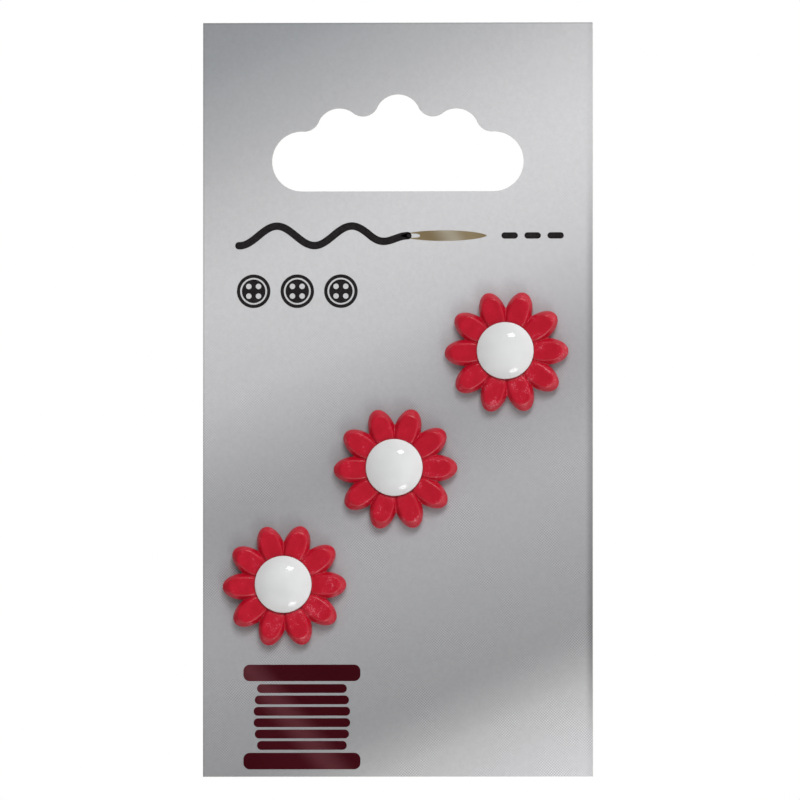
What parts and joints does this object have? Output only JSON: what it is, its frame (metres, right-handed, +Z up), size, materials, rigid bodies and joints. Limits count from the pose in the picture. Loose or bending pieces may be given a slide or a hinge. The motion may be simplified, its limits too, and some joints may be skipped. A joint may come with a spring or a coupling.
{
  "type": "card of buttons",
  "caption": "Flat printed hang card with a scalloped hang slot, carrying daisy-shaped shank buttons with domed centres in a diagonal row, each held from behind by a bent wire pin.",
  "frame": {"origin": "crest of the hang slot's middle arch, where a display peg bears, halfway through the board's thickness", "axes": "+X to the right seen from the printed face, +Z up as the card hangs, and the printed face looks along -Y"},
  "size_m": [0.05, 0.0063, 0.0967],
  "materials": {
    "printed_board": "silver-grey coated print on white board",
    "petal_plastic": "moulded, satin",
    "dome_plastic": "moulded, polished",
    "pin_wire": "drawn wire, bright"
  },
  "bodies": {
    "root": {"hang_card": "printed_board", "upper_petals": "petal_plastic", "upper_dome": "dome_plastic", "upper_pin": "pin_wire", "middle_petals": "petal_plastic", "middle_dome": "dome_plastic", "middle_pin": "pin_wire", "lower_petals": "petal_plastic", "lower_dome": "dome_plastic", "lower_pin": "pin_wire"}
  },
  "joints": []
}
